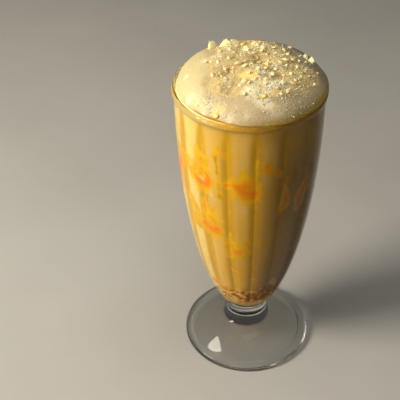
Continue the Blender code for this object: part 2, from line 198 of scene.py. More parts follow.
# Glass
# A footed soda glass of clear pressed glass: foot, waist and bowl are one
# piece. Sixteen flutes are pressed into the inside of the bowl only.
RIM_RADIUS = 0.0430
GLASS_HEIGHT = 0.1920
FOOT_RADIUS = 0.0401
WAIST_RADIUS = 0.0131
WAIST_HEIGHT = 0.0270
WAIST_TOP = 0.0345
WALL = 0.0023
WALL_AT_FLOOR = 0.0034
THIN_WALL_FROM = 0.0900
RIM_WALL = 0.0024
RIM_WALL_FROM = 0.1860
INNER_RIM = RIM_RADIUS - RIM_WALL
BEAD_HEIGHT = 0.0036
BEAD_BOTTOM = GLASS_HEIGHT - BEAD_HEIGHT
BEAD_STEP = 0.0010
BEAD_ROUND = 0.0011
BOWL_FOOT = 0.0280
BOWL_FOOT_RADIUS = 0.0087
CAVITY_FLOOR = 0.0350
CAVITY_ROUND = 0.0065
ROUND_TOP = CAVITY_FLOOR + CAVITY_ROUND
SHAKE_TOP = 0.1888
FLUTES = 16
FLUTE_DEPTH = 0.0011
FLUTES_FULL_FROM = 0.0560
FLUTES_FADE = (0.1740, 0.1870)
AROUND = 16 * FLUTES


def smoothstep(low, high, value):
    """0 below low, 1 above high, and an even curve between."""
    share = np.clip((value - low) / (high - low), 0.0, 1.0)
    return share * share * (3 - 2 * share)


def bowl_radius(z):
    """Outside of the bowl: it swells fast above the waist and then stands almost upright."""
    rise = np.clip((z - BOWL_FOOT) / (BEAD_BOTTOM - BOWL_FOOT), 0.0, 1.0)
    swell = (1 - (1 - rise) ** 2.1) ** (1 / 1.62)
    return BOWL_FOOT_RADIUS + (RIM_RADIUS - BEAD_STEP - BOWL_FOOT_RADIUS) * swell


def cavity_radius(z):
    """Inside of the bowl between the flutes' ridges, with its round floor and its rim."""
    wall = WALL_AT_FLOOR + (WALL - WALL_AT_FLOOR) * smoothstep(CAVITY_FLOOR, THIN_WALL_FROM, z)
    side = bowl_radius(z) - wall
    side = side + (INNER_RIM - side) * smoothstep(RIM_WALL_FROM, SHAKE_TOP, z)
    drop = np.clip((ROUND_TOP - z) / CAVITY_ROUND, 0.0, 1.0)
    return side * np.sqrt(1 - drop * drop) ** 0.9


def flute_inset(angle, z):
    """How far a flute's ridge stands into the bowl at this angle and height."""
    flute = 2 * math.pi / FLUTES
    phase = (angle - flute / 4) / flute
    from_ridge = np.abs(phase - np.round(phase)) * 2
    rise = smoothstep(CAVITY_FLOOR + 0.6 * CAVITY_ROUND, FLUTES_FULL_FROM, z)
    return FLUTE_DEPTH * rise * (1 - smoothstep(*FLUTES_FADE, z)) * (1 - from_ridge) ** 2.6


def smooth_line(points, parts):
    """A smooth curve through (radius, height) points, as a finer line."""
    line = []
    for index in range(len(points) - 1):
        four = [points[max(min(index + step, len(points) - 1), 0)] for step in (-1, 0, 1, 2)]
        before, start, end, after = (np.array(point) for point in four)
        for part in range(parts):
            t = part / parts
            bend = (2 * before - 5 * start + 4 * end - after) * t * t
            turn = (3 * start - before - 3 * end + after) * t ** 3
            radius, z = 0.5 * (2 * start + (end - before) * t + bend + turn)
            line.append((max(radius, 0.0), z))
    return line + [points[-1]]


def foot_profile():
    """From the waist over the domed foot to its edge, and back under it to the middle."""
    points = []
    fillet = 0.0062
    for step in range(4):
        angle = math.radians(90 * step / 4)
        radius = WAIST_RADIUS + fillet * (1 - math.cos(angle))
        points.append((radius, WAIST_HEIGHT - 0.0030 - 1.25 * fillet * math.sin(angle)))
    dome_start = WAIST_RADIUS + 0.92 * fillet
    shoulder = FOOT_RADIUS - 0.0042
    for step in range(4):
        share = step / 3
        radius = dome_start + (shoulder - dome_start) * share
        points.append((radius, 0.0056 + 0.0110 * (1 - share ** 1.25)))
    for degrees in (50, 0, -48):
        angle = math.radians(degrees)
        rise = 0.0034 if degrees > 0 else 0.0016
        radius = FOOT_RADIUS - 0.0021 * (1 - math.cos(angle))
        points.append((radius, max(0.0016 + rise * math.sin(angle), 0.0004)))
    recess = [(0.0330, 0.0), (0.0315, 0.0009), (0.0220, 0.0030), (0.0100, 0.0040), (0.0, 0.0042)]
    return smooth_line(points, 5) + [(0.0380, 0.0)] + smooth_line(recess, 4)


def glass_profile():
    """Up the inside, over the bead of the rim and down the outside to the foot."""
    points = [(0.0, CAVITY_FLOOR)]
    for step in range(1, 10):
        z = ROUND_TOP - CAVITY_ROUND * math.cos(math.radians(10 * step))
        points.append((cavity_radius(z), z))
    points += [(cavity_radius(z), z) for z in np.linspace(ROUND_TOP, SHAKE_TOP, 60)[1:]]
    points.append((INNER_RIM, GLASS_HEIGHT - BEAD_ROUND))
    for step in range(1, 9):
        angle = math.radians(180 - 22.5 * step)
        rise = BEAD_ROUND * (1 - math.sin(angle))
        points.append((RIM_RADIUS - RIM_WALL / 2 * (1 - math.cos(angle)), GLASS_HEIGHT - rise))
    points.append((RIM_RADIUS, BEAD_BOTTOM + 0.0007))
    points.append((RIM_RADIUS - 0.0002, BEAD_BOTTOM + 0.0003))
    points.append((RIM_RADIUS - BEAD_STEP + 0.0002, BEAD_BOTTOM))
    points += [(bowl_radius(z), z) for z in np.linspace(BEAD_BOTTOM - 0.0004, WAIST_TOP, 56)]
    waist = [(bowl_radius(WAIST_TOP), WAIST_TOP), (0.0139, 0.0320), (WAIST_RADIUS + 0.0002, 0.0298)]
    return points + smooth_line(waist + [foot_profile()[0]], 5)[1:-1] + foot_profile()


def draw_line(name, points):
    """A line drawn point by point beside the glass's axis."""
    bpy.ops.object.select_all(action="DESELECT")
    bpy.ops.mesh.primitive_plane_add(size=0.001, location=(0.0, 0.0, 0.0))
    piece = bpy.context.object
    piece.name = name
    piece.data.name = name
    bpy.ops.object.mode_set(mode="EDIT")
    bpy.ops.mesh.select_all(action="SELECT")
    bpy.ops.mesh.merge(type="CENTER")
    bpy.ops.transform.translate(value=(points[0][0], 0.0, points[0][1]))
    for (radius, z), (next_radius, next_z) in zip(points, points[1:]):
        step = (next_radius - radius, 0.0, next_z - z)
        bpy.ops.mesh.extrude_vertices_move(TRANSFORM_OT_translate={"value": step})
    return piece


def spin_round():
    """Spin the line that was just drawn all the way round the axis and close it."""
    bpy.ops.mesh.select_all(action="SELECT")
    bpy.ops.mesh.spin(steps=AROUND, angle=2 * math.pi, center=(0, 0, 0), axis=(0, 0, 1))
    bpy.ops.mesh.select_all(action="SELECT")
    bpy.ops.mesh.remove_doubles(threshold=0.000002)
    bpy.ops.mesh.normals_make_consistent(inside=False)
    bpy.ops.object.mode_set(mode="OBJECT")
    bpy.ops.object.shade_smooth()


def places_of(piece):
    """The piece's points, a row each of x, y and z."""
    places = np.empty(len(piece.data.vertices) * 3)
    piece.data.vertices.foreach_get("co", places)
    return places.reshape(-1, 3)


def move_to(piece, places):
    """Move every point of the piece to its new place."""
    piece.data.vertices.foreach_set("co", places.ravel())
    piece.data.update()


def round_axis(places):
    """Radius, and angle from the front (-Y) towards +X, of every point."""
    return np.hypot(places[:, 0], places[:, 1]), np.arctan2(places[:, 0], -places[:, 1])


glass_finish, tree, shader = new_finish("clear_pressed_glass")
smears = noise_on(tree, 60.0, 3.0)
tints = ((0.35, (0.965, 0.975, 0.970)), (0.70, (0.985, 0.990, 0.985)))
tree.links.new(ramp_from(tree, smears, tints), shader.inputs["Base Color"])
tree.links.new(between(tree, smears, 0.50, 0.85, 0.0, 0.04), shader.inputs["Roughness"])
bumped(tree, shader, noise_on(tree, 45.0, 1.0), 0.12, 0.0006)
set_inputs(shader, {"Transmission Weight": 1.0, "IOR": 1.5, "Specular Tint": (0.25, 0.25, 0.25, 1.0)})

glass = draw_line("glass_body", glass_profile())
spin_round()
places = places_of(glass)
radius, angle = round_axis(places)
height = places[:, 2]
inside = (height > CAVITY_FLOOR) & (height < SHAKE_TOP) & (radius > WALL)
inside &= radius < bowl_radius(height) - WALL / 2
pressed = np.where(inside, 1 - flute_inset(angle, height) / np.maximum(radius, WALL), 1.0)
places[:, :2] *= pressed[:, None]
move_to(glass, places)
glass.data.materials.append(glass_finish)
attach(glass, "root")
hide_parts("glass")

# Sauce in the bottom
# Orange fruit sauce that has sunk to the round bottom of the bowl and is
# partly stirred into the drink. It fills the glass, a hair into its wall.
INTO_WALL = 0.00012
SAME_PLACE = 0.00001
NEAR_AXIS = 0.0005
POOL_TOP = 0.0492
WAVE_DEPTH = 0.006
POOL_EDGE = POOL_TOP - WAVE_DEPTH
SAUCE_ORANGE = (0.80, 0.26, 0.002)
SAUCE_BROWN = (0.40, 0.140, 0.001)
SAUCE_GOLD = (1.00, 0.58, 0.03)
CREAM_PALE = (0.96, 0.76, 0.34)


def pool_height(x, y):
    """Top of the sauce, which has run higher up the wall at the left and at the right."""
    angle = np.arctan2(x, -y)
    reach = np.clip(np.hypot(x, y) / 0.020, 0.0, 1.0)
    wave = 0.0030 * np.cos(angle + 0.85) + 0.0018 * np.sin(3 * angle + 0.6)
    return POOL_TOP + reach * reach * (wave + 0.0009 * np.cos(5 * angle - 0.4))


def swirl_group():
    """The marbling of sauce and drink near the bottom, shared by both of them."""
    tree = bpy.data.node_groups.new("sauce_marbling", "ShaderNodeTree")
    tree.interface.new_socket("Colour", in_out="OUTPUT", socket_type="NodeSocketColor")
    outside = tree.nodes.new("NodeGroupOutput")
    marble = noise_on(tree, 330.0, 2.0, 0.5, (1.0, 1.0, 0.55), 0.5)
    axes = tree.nodes.new("ShaderNodeSeparateXYZ")
    tree.links.new(tree.nodes.new("ShaderNodeTexCoord").outputs["Object"], axes.inputs["Vector"])
    height = reckon(tree, "ADD", axes.outputs["Z"], reckon(tree, "MULTIPLY", marble, 0.008))
    marble = reckon(tree, "SUBTRACT", marble, reckon(tree, "MULTIPLY", axes.outputs["X"], 6.0))
    stops = ((0.40, SAUCE_BROWN), (0.50, SAUCE_ORANGE), (0.56, SAUCE_GOLD), (0.62, CREAM_PALE))
    tip = between(tree, height, 0.0450, 0.0485, 0.85, 0.0)
    marbled = blended(tree, tip, ramp_from(tree, marble, stops), SAUCE_GOLD)
    tree.links.new(marbled, outside.inputs["Colour"])
    return tree


marbling = swirl_group()
pool_finish, tree, shader = new_finish("sunken_fruit_sauce")
marbled = tree.nodes.new("ShaderNodeGroup")
marbled.node_tree = marbling
set_surface(tree, shader, marbled.outputs["Colour"], 0.25, 0.0)

pool_wall = [(cavity_radius(z), z) for z in np.linspace(POOL_TOP, ROUND_TOP, 14)]
for step in range(1, 10):
    z = ROUND_TOP - CAVITY_ROUND * math.cos(math.radians(90 - 10 * step))
    pool_wall.append((cavity_radius(z), z))
pool_rings = [(radius, POOL_TOP) for radius in (0.0, 0.004, 0.008, 0.012, 0.016)]


def bring_to_wall(places, fixed):
    """Move points onto the bowl's fluted wall, a hair into it, and leave the fixed ones."""
    radius, angle = round_axis(places)
    wall = cavity_radius(places[:, 2]) + INTO_WALL - flute_inset(angle, places[:, 2])
    grown = np.where(fixed, 1.0, wall / np.maximum(radius, NEAR_AXIS))
    places[:, :2] *= grown[:, None]


pool = draw_line("sunken_sauce", pool_rings + pool_wall)
spin_round()
places = places_of(pool)
radius, angle = round_axis(places)
surface = pool_height(places[:, 0], places[:, 1])
on_top = (places[:, 2] > POOL_TOP - SAME_PLACE) & (radius < cavity_radius(POOL_TOP) - SAME_PLACE)
lift = np.clip((places[:, 2] - POOL_EDGE) / (POOL_TOP - POOL_EDGE), 0.0, 1.0)
places[:, 2] = np.where(on_top, surface, places[:, 2] + lift * (surface - POOL_TOP))
bring_to_wall(places, on_top | (radius < NEAR_AXIS))
move_to(pool, places)
pool.data.materials.append(pool_finish)
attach(pool, "root")
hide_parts("sauce_pool")

# Shake
# The creamy yellow drink, moulded by the flutes, with fruit sauce run down
# between it and the glass. Angles in degrees from the front, heights and
# half widths in millimetres.
SHAKE_CREAM = (0.92, 0.62, 0.15)
SHAKE_LEMON = (1.00, 0.82, 0.28)
SHAKE_DEEP = (0.88, 0.54, 0.08)
SHAKE_AMBER = (0.94, 0.48, 0.010)
SHADE_TINT = (0.39, 0.34, 0.16)
SAUCE_SHADE = (0.66, 0.68, 0.50)
RIDGE_OCHRE = (0.78, 0.45, 0.012)
HALO_YELLOW = (1.00, 0.62, 0.001)
HALO_OCHRE = (0.88, 0.50, 0.002)
HALO_AMBER = (1.00, 0.54, 0.001)
CORE_ORANGE = (1.00, 0.50, 0.001)
CORE_RED = (1.00, 0.32, 0.001)
SAUCE_OLIVE = (0.58, 0.35, 0.006)
SAUCE_PALE = (0.98, 0.78, 0.34)
THIN_SAUCE = (
    ((-1.2, 165.2, 0.5), (-2.8, 162.5, 0.9), (-4.2, 159.4, 1.5), (-3.8, 155.6, 2.1), (-1.9, 152.6, 2.2)),
    ((6.4, 169.1, 0.5), (6.5, 165.4, 0.9), (5.7, 161, 1.3), (3.9, 157.3, 1.6), (1.9, 153.4, 2.1)),
    ((-6.5, 156.2, 1), (-0.7, 156.5, 1.3), (5.1, 158.8, 1)),
    ((-17.9, 150.5, 1.3), (-12.6, 150.6, 2.1), (-5.7, 148.5, 4.3), (2.1, 146.8, 4.3), (7.2, 146.6, 2.4)),
    ((-43.7, 171.1, 0.9), (-42.8, 167.4, 1.6), (-40.8, 163.6, 2.8), (-38.3, 160.8, 3.3),
     (-40.5, 154.7, 4.9), (-41, 149, 4.5), (-37.4, 145.6, 3.4), (-36, 142.9, 1.6)),
    ((-48.7, 155.3, 1.3), (-49.5, 149.6, 1.8)),
    ((-74.8, 161.8, 0.7), (-67.6, 160.5, 1.1), (-61.7, 158.8, 1.3), (-56.3, 157, 2.1),
     (-56.3, 153.2, 1.6)),
    ((-60.4, 134.3, 0.7), (-58.1, 129.6, 1.8), (-54.7, 125.4, 2.2), (-49.7, 121.8, 2.4),
     (-50.1, 114.6, 3.6)),
    ((-40.5, 134.8, 1.3), (-38.6, 129.7, 2.1), (-35.9, 125.5, 3.2), (-34.2, 120.9, 4.5),
     (-33.7, 116.7, 4.9)),
    ((-57.8, 112.2, 1.7), (-52, 112, 2), (-44.4, 112.4, 2.5), (-40.6, 109.5, 1.5)),
    ((-34, 124.3, 4.5), (-32.8, 118.6, 5.2), (-31.1, 114, 4.5), (-31.7, 110, 1.7)),
    ((-61.1, 108.4, 0.7), (-65.2, 101.2, 0.7)),
    ((-23.3, 177, 0.6), (-25.1, 173, 1), (-26.2, 168, 1), (-24.9, 163.9, 0.9),
     (-24.9, 158.6, 0.9), (-24.4, 153.4, 0.8), (-24.1, 148, 1), (-23, 142.6, 1.3)),
    ((17.7, 167.3, 0.3), (18.4, 162.7, 0.8), (18.3, 158.3, 0.6)),
    ((-15.9, 113.3, 0.8), (-17.2, 106.6, 1.7), (-16.7, 100.3, 2.6), (-13.4, 96, 2.8),
     (-5.3, 96.6, 2.2), (0.8, 98.9, 1.2)),
    ((-12.9, 103.4, 2.2), (-6.1, 102.6, 2.5), (-0.6, 106.9, 1.4)),
    ((-4.8, 74.4, 1.2), (-4.7, 72.8, 1.2)),
    ((14.6, 146.2, 0.9), (14.9, 144.9, 0.9)),
    ((-17.9, 171.9, 0.9), (-17.6, 170.4, 0.9)),
    ((52, 151.3, 1.8), (52.5, 143.3, 3.8), (48.5, 137, 4.3), (47.3, 128.4, 3.4), (44.8, 125.1, 1.5)),
    ((32.5, 150.5, 0.9), (32.4, 142.6, 1.9), (32.4, 135.3, 2.8), (28.8, 131.3, 1.7)),
    ((39.8, 159, 1.2), (40.7, 154.1, 1.8), (40.6, 149.5, 1)),
    ((-20.5, 83, 0.4), (-14.7, 80.2, 0.7), (-5.8, 77.7, 0.6)),
)
THICK_SAUCE = (
    ((-19, 150.3, 0.8), (-15.2, 150.9, 1), (-11.5, 151.7, 1.1), (-8.2, 150.5, 1.6),
     (-4.4, 148.6, 2.8), (-0.1, 147, 3.4), (4.2, 145.4, 2.6), (7.7, 146.4, 1.3)),
    ((-10.8, 151.6, 1.2), (-4, 151.4, 2.1), (0.7, 150.7, 2.1)),
    ((3.1, 156.5, 0.5), (1.5, 153.5, 1.1)),
    ((-43.5, 158.9, 0.3), (-47.1, 153.7, 0.5), (-47.7, 149.9, 0.7), (-44.9, 147.6, 1.4),
     (-39.6, 146.8, 2.3), (-34.4, 148.6, 2.2), (-32.6, 151.7, 1.3)),
    ((-39.7, 156.5, 1), (-35.8, 154.7, 1.2), (-33.6, 152.8, 1.1)),
    ((-40.3, 134.4, 0.4), (-39.3, 131.1, 0.9), (-38.6, 127.8, 0.7), (-38.8, 124, 0.2)),
    ((-41.7, 115.2, 1.3), (-37.1, 113.6, 2.3), (-31.6, 113.4, 2.7), (-26.6, 114.7, 1.5)),
    ((-38.9, 118.4, 0.4), (-37, 116.1, 1.2), (-33.5, 114.2, 1.8)),
    ((-62.2, 105.7, 0.5), (-63.4, 102.1, 0.5)),
    ((14.4, 167, 0.9), (14.3, 163.9, 1.6), (14.1, 160.7, 1)),
    ((23.1, 161, 1), (26.2, 157.4, 1.1)),
    ((30.9, 148.6, 0.5), (32.1, 143.9, 1), (32.2, 138.2, 1.5), (32.4, 134, 1.6),
     (28.9, 131.9, 1.2), (27.6, 129.9, 0.5)),
    ((55.8, 146.6, 1.1), (54.4, 141.7, 2.2), (49.9, 138, 2.6), (47.2, 132.6, 2.6), (45.5, 128.4, 1.6)),
    ((-15.2, 105, 0.4), (-13.6, 100.8, 1), (-10.8, 97.6, 2), (-6.6, 98.6, 1.5), (-3, 101.5, 0.8)),
    ((-4.8, 74.2, 0.7), (-4.6, 73.4, 0.7)),
    ((4.7, 72.6, 0.4), (12.9, 71.4, 0.3)),
    ((-49.6, 62.7, 0.9), (-47.6, 60.4, 1.7), (-42, 59, 1.5), (-35.9, 58, 1.2),
     (-26.6, 58, 0.9), (-18.5, 58.4, 0.5)),
    ((35.6, 66.2, 0.8), (40.9, 60.1, 0.9), (41.2, 57, 0.6)),
)
PALE_SPOTS = (
    ((-41.8, 150.7, 0.8), (-39.3, 149.5, 1)),
    ((-31.2, 143.2, 1.1), (-31, 140.1, 1.1)),
    ((-29.1, 137.8, 0.7), (-27.1, 137.5, 0.5)),
    ((-18.4, 58.7, 0.7), (-13.1, 59, 0.9)),
    ((-17.8, 56, 0.6), (-12.1, 57.1, 0.6)),
    ((19.7, 59.6, 0.7), (21.5, 58.9, 0.7)),
    ((26.5, 57.4, 0.3), (27.6, 56.7, 0.3)),
)
OLIVE_SPOTS = (
    ((-23.3, 142.4, 1.2), (-22.9, 140.9, 1.2)),
    ((-18, 171.7, 0.8), (-17.6, 170.2, 0.8)),
    ((14.7, 146, 0.7), (14.9, 144.9, 0.7)),
    ((39.5, 157.6, 1), (40.8, 153.5, 1.5), (40.6, 150.3, 0.9)),
    ((-26.1, 168.8, 0.7), (-25.6, 163, 0.7), (-24.9, 157.8, 0.6)),
)
# The streaks at the sides and behind repeat those in front, turned by degrees and moved up or down
REPEATS = ((0, 0), (118, -11), (-124, 7), (178, -19))
# A step up counts for less than a step round, so that the streaks are longer than wide
UP_SHARE = 0.77
# The mesh is finer where the streaks in front are painted
FINE_WITHIN = 68
FINE_TOP = 0.178
RIDGES_TOP = 0.1700


def paint(piece, name, values):
    """A value at each point of the mesh, which the finish reads by its name."""
    layer = piece.data.attributes.new(name, "FLOAT", "POINT")
    layer.data.foreach_set("value", values)


def painted(tree, name):
    """The value that was painted on the mesh under this name."""
    layer = tree.nodes.new("ShaderNodeAttribute")
    layer.attribute_name = name
    return layer.outputs["Fac"]


def streak_field(degrees, z, streaks):
    """Up to 1 along the middle of each streak, half of that at its edge and 0 well outside it."""
    field = np.zeros(len(z))
    for turn, lift in REPEATS:
        for streak in streaks:
            for (from_angle, from_z, from_width), (to_angle, to_z, to_width) in zip(streak, streak[1:]):
                mm_a_degree = math.radians(1000 * cavity_radius((from_z + lift) / 1000))
                across = ((degrees - turn - from_angle + 180) % 360 - 180) * mm_a_degree
                up = (z * 1000 - lift - from_z) * UP_SHARE
                run_across = (to_angle - from_angle) * mm_a_degree
                run_up = (to_z - from_z) * UP_SHARE
                length = run_across ** 2 + run_up ** 2
                share = np.clip((across * run_across + up * run_up) / length, 0.0, 1.0)
                away = np.hypot(across - share * run_across, up - share * run_up)
                width = from_width + (to_width - from_width) * share
                middle = np.minimum(1.0, 0.50 + 0.28 * width)
                field = np.maximum(field, middle - away / (2 * width + 0.9))
    return field


shake_rows = [(cavity_radius(z), z) for z in np.linspace(POOL_TOP, SHAKE_TOP, 140)]
shake_floor = [(radius, POOL_TOP) for radius in (0.0, 0.006, 0.012, 0.016)]
shake = draw_line("shake_drink", shake_floor + shake_rows + [(0.020, SHAKE_TOP), (0.0, SHAKE_TOP)])
spin_round()
bpy.ops.object.mode_set(mode="EDIT")
bpy.ops.mesh.select_all(action="DESELECT")
bpy.ops.object.mode_set(mode="OBJECT")
bpy.context.tool_settings.mesh_select_mode = (False, False, True)
for face in shake.data.polygons:
    x, y, z = face.center
    in_front = abs(math.degrees(math.atan2(x, -y))) < FINE_WITHIN
    face.select = bool(in_front and abs(face.normal.z) < 0.9 and POOL_TOP + 0.004 < z < FINE_TOP)
bpy.ops.object.mode_set(mode="EDIT")
bpy.ops.mesh.subdivide(number_cuts=1)
bpy.ops.mesh.select_mode(type="VERT")
bpy.ops.object.mode_set(mode="OBJECT")
places = places_of(shake)
radius, angle = round_axis(places)
surface = pool_height(places[:, 0], places[:, 1])
on_floor = (places[:, 2] < POOL_TOP + SAME_PLACE) & (radius < cavity_radius(POOL_TOP) - 0.0002)
on_top = (places[:, 2] > SHAKE_TOP - SAME_PLACE) & (radius < INNER_RIM - 0.0002)
drop = 1 - np.clip((places[:, 2] - POOL_TOP) / WAVE_DEPTH, 0.0, 1.0)
places[:, 2] += np.where(on_top, 0.0, drop * (surface - POOL_TOP))
bring_to_wall(places, on_floor | on_top)
move_to(shake, places)
radius, angle = round_axis(places)
for name, streaks in (
    ("thin_sauce", THIN_SAUCE), ("thick_sauce", THICK_SAUCE),
    ("pale_spots", PALE_SPOTS), ("olive_spots", OLIVE_SPOTS),
):
    paint(shake, name, streak_field(np.degrees(angle), places[:, 2], streaks))
# Along the flutes' ridges the drink is tinted ochre: partly sauce settled in the grooves, partly painted
# shade
shown = 1 - 0.55 * smoothstep(RIDGES_TOP, SHAKE_TOP, places[:, 2])
paint(shake, "ridge", flute_inset(angle, np.minimum(places[:, 2], RIDGES_TOP)) / FLUTE_DEPTH * shown)
low = 1 - smoothstep(0.060, 0.115, places[:, 2])
# Painted shade: the drink is darkened on the right, away from the key lamp, more so low down and less
# near the top, fading out towards the back
right = smoothstep(-0.07, 0.76, angle + 0.06 * low) * (1 - smoothstep(1.9, 2.8, angle))
paint(shake, "painted_shade_side", right * (0.85 + 0.15 * low - 0.40 * smoothstep(0.145, 0.180, places[:, 2])))
# Painted light: the drink is paler and more lemon on the left, where the key lamp falls
paint(shake, "painted_lit_side", 0.85 * (1 - smoothstep(-1.0, -0.35, angle)) * smoothstep(-2.8, -2.0, angle))
paint(shake, "amber", 0.60 * low * smoothstep(-0.75, -0.15, angle) * (1 - smoothstep(2.2, 3.0, angle)))

shake_finish, tree, shader = new_finish("creamy_shake")
clouds = noise_on(tree, 55.0, 3.0, 0.55, (1.0, 1.0, 0.45), 0.6)
drink = ramp_from(tree, clouds, ((0.35, SHAKE_DEEP), (0.65, SHAKE_CREAM)))
ridges = between(tree, painted(tree, "ridge"), 0.02, 0.46, 0.0, 0.96)
# Painted light on the left side of the drink
drink = blended(tree, painted(tree, "painted_lit_side"), drink, SHAKE_LEMON)
drink = blended(tree, painted(tree, "amber"), drink, SHAKE_AMBER)
# Ochre along the ridges: settled sauce and painted shade
drink = blended(tree, ridges, drink, RIDGE_OCHRE)
fray = centred(tree, noise_on(tree, 260.0, 4.0, 0.6, (1.0, 1.0, 0.7), 0.6), 1.3)
patches = noise_on(tree, 200.0, 2.0)
thin = reckon(tree, "ADD", painted(tree, "thin_sauce"), fray)
thin_colour = ramp_from(tree, patches, ((0.35, HALO_OCHRE), (0.60, HALO_YELLOW)))
drink = blended(tree, between(tree, thin, 0.08, 0.60), drink, thin_colour)
olive = reckon(tree, "ADD", painted(tree, "olive_spots"), fray)
drink = blended(tree, between(tree, olive, 0.15, 0.95, 0.0, 0.60), drink, SAUCE_OLIVE)
# Painted shade over the right side of the drink
drink = blended(tree, painted(tree, "painted_shade_side"), drink, SHADE_TINT, "MULTIPLY")
thick = reckon(tree, "ADD", painted(tree, "thick_sauce"), fray)
thick_stops = ((0.24, HALO_AMBER), (0.50, CORE_ORANGE), (0.90, CORE_RED))
thick_colour = ramp_from(tree, thick, thick_stops)
# Painted shade over the thick sauce on the right side
thick_colour = blended(tree, painted(tree, "painted_shade_side"), thick_colour, SAUCE_SHADE, "MULTIPLY")
drink = blended(tree, between(tree, thick, 0.02, 0.52), drink, thick_colour)
pale = reckon(tree, "ADD", painted(tree, "pale_spots"), fray)
drink = blended(tree, between(tree, pale, 0.20, 1.00, 0.0, 0.90), drink, SAUCE_PALE)
axes = tree.nodes.new("ShaderNodeSeparateXYZ")
tree.links.new(tree.nodes.new("ShaderNodeTexCoord").outputs["Object"], axes.inputs["Vector"])
wander = reckon(tree, "MULTIPLY", noise_on(tree, 90.0, 2.0, 0.5, (1.0, 1.0, 1.6), 1.0), 0.024)
uneven_height = reckon(tree, "ADD", axes.outputs["Z"], wander)
low_down = between(tree, uneven_height, 0.0665, 0.0720, 1.0, 0.0)
marbled = tree.nodes.new("ShaderNodeGroup")
marbled.node_tree = marbling
drink = blended(tree, low_down, drink, marbled.outputs["Colour"])
set_surface(tree, shader, drink, 0.35, 0.0, 0.05, (0.0025, 0.0016, 0.0006))
shake.data.materials.append(shake_finish)
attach(shake, "root")
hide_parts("shake")

# Froth
# A stiff pale yellow head of fine bubbles: a plug in the rim and a dome that
# leans over the rim at the right. Its top is dented under the crumbs.
HEAD_RISE = 0.0163
HEAD_SHIFT = 0.0013
HEAD_TILT = -0.041
HEAD_FLATNESS = 2.6
HEAD_ROUNDNESS = 1.72
HEAD_BASE = GLASS_HEIGHT - 0.0015
LIP_HEIGHT = GLASS_HEIGHT + 0.0004
LIP_OVERHANG = 0.0030
LIP_TURN = math.radians(78)
PLUG_FOOT = SHAKE_TOP - 0.0003
# The dome is drawn high above the glass, row by row, and then laid on the rim
DRAWN_AT = 0.5
DOME_ROWS = 96
CRUMB_MIDDLE = (0.0070, -0.0025)
CRUMB_REACH = (0.0300, 0.0275)
# Patches of the crumbs' field: x, y, reach in x and reach in y
BARE_PATCH = (-0.0010, -0.0120, 0.0064, 0.0060)
BARE_MOUND = (-0.0010, -0.0245, 0.0080, 0.0060)
FRONT_CRUMBS = (-0.0100, -0.0205, 0.0088, 0.0088)
FROTH_PALE = (0.42, 0.32, 0.17)
FROTH_DULL = (0.36, 0.265, 0.11)
FROTH_WHITE = (0.5, 0.45, 0.29)
# Tones over the plain froth, in the order in which they are laid on
FROTH_TONES = {
    "lit_lemon": (0.49, 0.41, 0.21), "tan": (0.51, 0.37, 0.15), "crumbed": (0.65, 0.453, 0.175),
    "ochre": (0.31, 0.215, 0.04), "cream": (0.7, 0.62, 0.38), "gold": (0.95, 0.71, 0.29),
    "yellow": (0.86, 0.63, 0.17), "far_shade_grey": (0.25, 0.21, 0.125),
}
SOAKED_TAN = (1.0, 0.52, 0.02)
SOAKED_LIT_CREAM = (1.0, 0.72, 0.28)
CONTACT_BROWN = (0.3, 0.13, 0.006)
# Spots of tone on the froth: x, y, reach in x and in y, in millimetres, and strength. Yellow and tan are
# where the drink has coloured it, ochre is drink soaked in and painted shade, cream is pale froth with
# painted highlights and painted light, and gold is the froth's own gold with painted light
TONE_SPOTS = {
    "yellow": (
        (-0.6, -14, 8.5, 7.2, 0.7), (-17.2, -35, 4, 4, 0.4), (7.3, -28.4, 4, 3.2, 0.6),
        (8.5, -6, 6, 4, 0.35),
    ),
    "tan": (
        (-18.2, -13, 7.5, 27, 0.8), (-16, -34, 7, 6, 1), (-26, -30, 8, 6, 0.9),
        (-6, -26, 6, 4, 0.5), (13, -24, 10, 6, 0.5), (18, -6, 12, 10, 0.3),
    ),
    "ochre": (
        (22.4, -31.3, 5, 4, 0.3), (26.2, -32.2, 6, 5, 0.45), (-20, -36.5, 5.5, 4.5, 0.45),
        (-10.5, -20.5, 4.5, 3, 0.35),
    ),
    "cream": (
        (2, -25.8, 10, 7, 0.85), (-34.4, -6.5, 3, 3.5, 0.6), (-32, -21.7, 4.5, 4, 0.6),
        (-24.1, -32.2, 4, 3, 0.5), (-10, -38.5, 5, 3, 0.4), (1, -18, 6, 4, 0.4),
        (25.5, -12, 6, 6, 0.3), (-24, 2, 5, 6, 0.4), (8, -32.5, 8.5, 6.5, 0.7),
    ),
    "gold": (
        (8.5, -19.5, 11, 7, 1), (9, -11, 8, 5, 0.6), (17, -18, 8, 5.5, 0.8),
        (7.5, -25, 7.5, 5, 0.8), (19, -21.5, 6, 5, 0.8), (5.5, -11.2, 6, 4.5, 0.7),
    ),
}
# Hollows (negative) and swells of the top: x, y, radius and height, in millimetres
RELIEF = (
    (-11.2, -10.7, 4.2, -2), (5.7, 1.7, 5.6, -1.9), (15.2, -12.5, 5, -1.8), (-8.8, -23.2, 4.5, -1.6),
    (-4.5, 16.5, 5, -1.4), (24, 3, 6, -1.1), (1, -23.5, 5.6, 1.2), (-18, 2, 7, 0.7), (2, -11, 5, 0.9),
    (17, -1, 5.2, 0.8), (15.2, -21.2, 5.8, 1.4),
)


